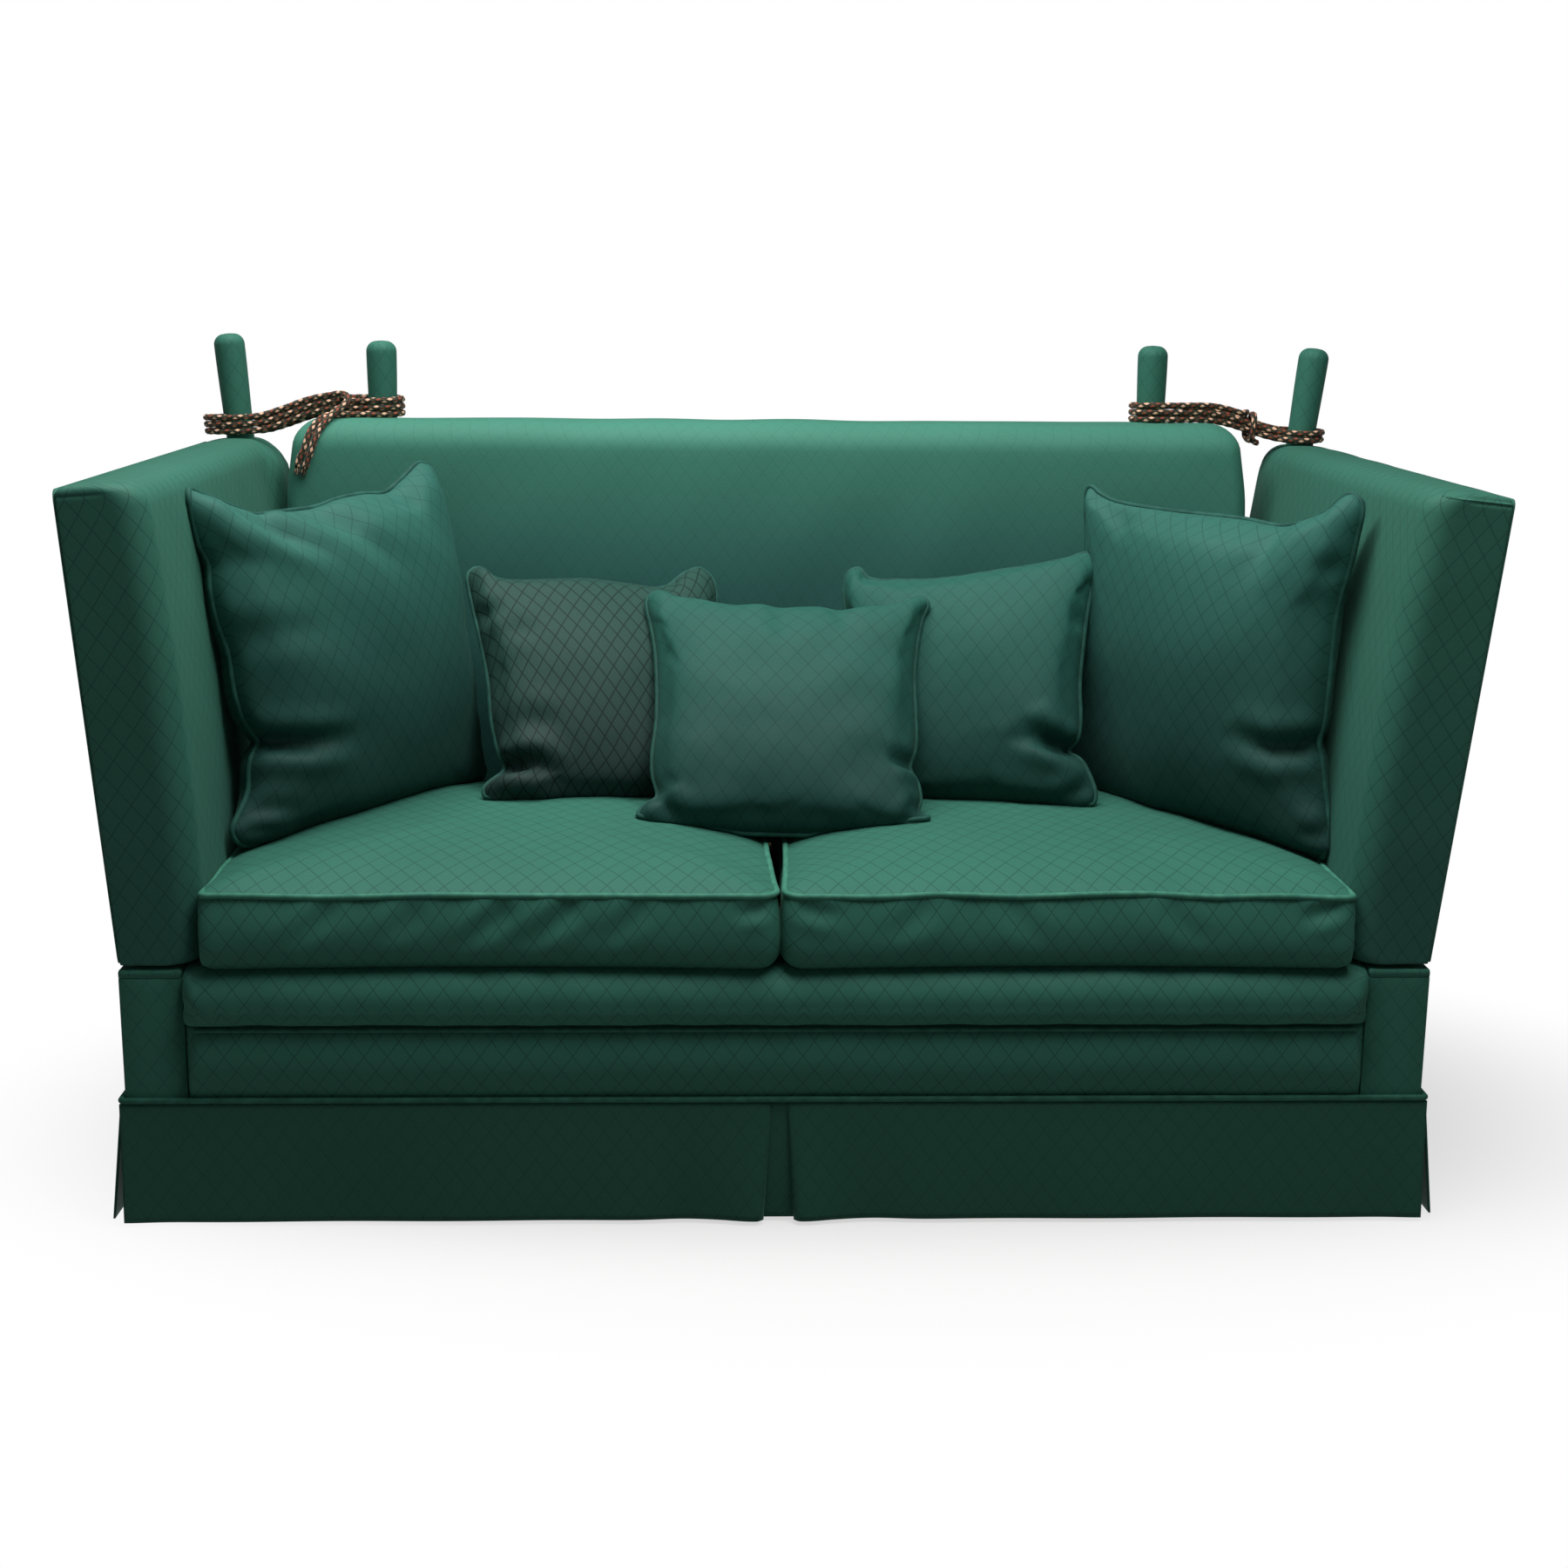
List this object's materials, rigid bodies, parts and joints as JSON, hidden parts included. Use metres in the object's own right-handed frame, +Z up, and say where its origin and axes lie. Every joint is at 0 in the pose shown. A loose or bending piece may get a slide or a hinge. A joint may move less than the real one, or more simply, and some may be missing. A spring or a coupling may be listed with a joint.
{
  "type": "knole sofa",
  "caption": "Sofa with tall hinged arms tied by ropes to posts at the corners of its back, with loose seat and scatter cushions and a skirt with a front pleat.",
  "frame": {"origin": "on the floor under the middle of the sofa's box", "axes": "+X to the right as seen from the front, +Y towards the back, +Z up"},
  "size_m": [2.0023, 0.9768, 1.238],
  "materials": {
    "velvet": "satin",
    "patterned_velvet": "satin",
    "rope": "satin",
    "hessian": "matte",
    "beech": "matte",
    "steel": "satin"
  },
  "bodies": {
    "sofa": {"side_rail_left": "beech", "side_rail_right": "beech", "front_rail": "beech", "back_rail": "beech", "seat_brace": "beech", "leg_front_left": "beech", "leg_front_right": "beech", "leg_rear_left": "beech", "leg_rear_right": "beech", "leg_centre": "beech", "back_upright_left": "beech", "back_upright_right": "beech", "back_top_rail": "beech", "back_lower_rail": "beech", "base_cover_left": "velvet", "base_cover_right": "velvet", "front_border": "velvet", "lip_roll": "velvet", "outside_back": "velvet", "back_pad": "velvet", "back_post_left": "velvet", "back_post_right": "velvet", "skirt_piping": "velvet", "skirt_front_left": "velvet", "skirt_front_right": "velvet", "skirt_pleat": "velvet", "skirt_end_left": "velvet", "skirt_end_right": "velvet", "skirt_back": "velvet", "seat_cushion_left": "velvet", "seat_cushion_right": "velvet", "scatter_cushion_large_left": "velvet", "scatter_cushion_large_right": "velvet", "scatter_cushion_small_left": "patterned_velvet", "scatter_cushion_small_right": "velvet", "scatter_cushion_centre": "velvet", "seat_springs": "steel", "seat_deck": "hessian", "left_hinge_base_leaf": "steel", "left_hinge_pin": "steel", "right_hinge_base_leaf": "steel", "right_hinge_pin": "steel", "left_rope": "rope", "right_rope": "rope"},
    "left_arm": {"left_arm_bottom_rail": "beech", "left_arm_top_rail": "beech", "left_arm_front_stile": "beech", "left_arm_rear_stile": "beech", "left_arm_pad": "velvet", "left_arm_outside": "velvet", "left_arm_post": "velvet", "left_hinge_arm_leaf": "steel"},
    "right_arm": {"right_arm_bottom_rail": "beech", "right_arm_top_rail": "beech", "right_arm_front_stile": "beech", "right_arm_rear_stile": "beech", "right_arm_pad": "velvet", "right_arm_outside": "velvet", "right_arm_post": "velvet", "right_hinge_arm_leaf": "steel"}
  },
  "joints": [
    {"name": "left_arm_drop", "type": "hinge", "parent": "sofa", "child": "left_arm", "pos_m": [-0.94993, 0, 0.386], "axis": [0, -1, 0], "range_deg": [0, 80], "deforming": ["left_rope"]},
    {"name": "right_arm_drop", "type": "hinge", "parent": "sofa", "child": "right_arm", "pos_m": [0.93007, 0, 0.386], "axis": [0, 1, 0], "range_deg": [0, 80], "deforming": ["right_rope"]}
  ]
}
